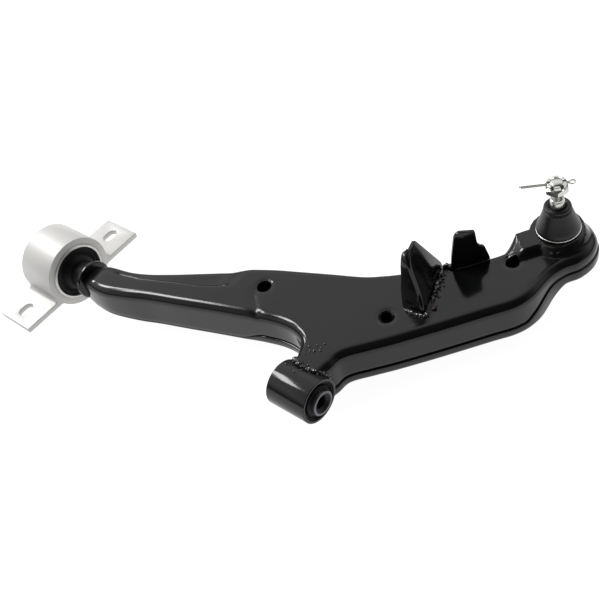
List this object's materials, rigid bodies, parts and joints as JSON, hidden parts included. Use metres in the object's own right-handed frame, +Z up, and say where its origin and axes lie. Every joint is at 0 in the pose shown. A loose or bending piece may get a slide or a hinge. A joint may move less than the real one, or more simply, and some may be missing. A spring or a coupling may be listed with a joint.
{
  "type": "suspension control arm",
  "caption": "Stamped steel lower suspension arm with a front rubber bush, a rear bush in an extruded bolt-on bracket, a link bracket and a ball joint with castle nut.",
  "frame": {"origin": "centre of the front bush bore", "axes": "+Y rearwards along the pivot axis through both bushes, +X outboard towards the ball joint, +Z up, square to the arm's top plate and along the ball stud at rest"},
  "size_m": [0.4234, 0.6245, 0.1409],
  "materials": {
    "arm_paint": "gloss black coating over steel",
    "sleeve_steel": "plain drawn steel",
    "zinc_steel": "bright zinc plated steel",
    "bracket_aluminium": "satin extruded aluminium",
    "bush_rubber": "matte moulded rubber",
    "boot_rubber": "satin moulded rubber",
    "bearing_plastic": "plain moulded plastic"
  },
  "bodies": {
    "arm": {"upper_shell": "arm_paint", "lower_shell": "arm_paint", "front_eye": "arm_paint", "front_outer_sleeve": "sleeve_steel", "front_rubber": "bush_rubber", "rear_pivot_pin": "arm_paint", "rear_inner_sleeve": "sleeve_steel", "rear_washer": "zinc_steel", "rear_nut": "zinc_steel", "link_fin": "arm_paint", "link_tab": "arm_paint", "ball_socket": "arm_paint", "ball_bearing_shell": "bearing_plastic", "ball_cover": "zinc_steel", "boot_lower_ring": "zinc_steel"},
    "front_sleeve": {"front_inner_sleeve": "sleeve_steel"},
    "rear_mount": {"rear_bracket": "bracket_aluminium", "rear_outer_sleeve": "bracket_aluminium", "rear_rubber": "bush_rubber"},
    "boot": {"dust_boot": "boot_rubber"},
    "boot_collar": {"boot_upper_ring": "boot_rubber"},
    "stud": {"ball_stud": "zinc_steel", "castle_nut": "zinc_steel", "split_pin": "zinc_steel"}
  },
  "joints": [
    {"name": "rear_mount_turn", "type": "hinge", "parent": "arm", "child": "rear_mount", "pos_m": [0, 0.3985, 0], "axis": [0, 1, 0], "range_deg": [-20, 20], "stiffness_Nm_per_rad": 40},
    {"name": "front_sleeve_turn", "type": "hinge", "parent": "arm", "child": "front_sleeve", "pos_m": [0, 0, 0], "axis": [0, 1, 0], "range_deg": [-20, 20]},
    {"name": "stud_tilt_fore_aft", "type": "hinge", "parent": "arm", "child": "boot", "pos_m": [0.292, -0.127, 0.014], "axis": [1, 0, 0], "range_deg": [-20, 20], "deforming": ["dust_boot"]},
    {"name": "stud_tilt_in_out", "type": "hinge", "parent": "boot", "child": "boot_collar", "pos_m": [0.292, -0.127, 0.014], "axis": [0, 1, 0], "range_deg": [-20, 20]},
    {"name": "stud_spin", "type": "hinge", "parent": "boot_collar", "child": "stud", "pos_m": [0.292, -0.127, 0.014], "axis": [0, 0, 1], "continuous": true}
  ],
  "couplings": [
    {"joint": "front_sleeve_turn", "follows": "rear_mount_turn", "ratio": 1}
  ]
}
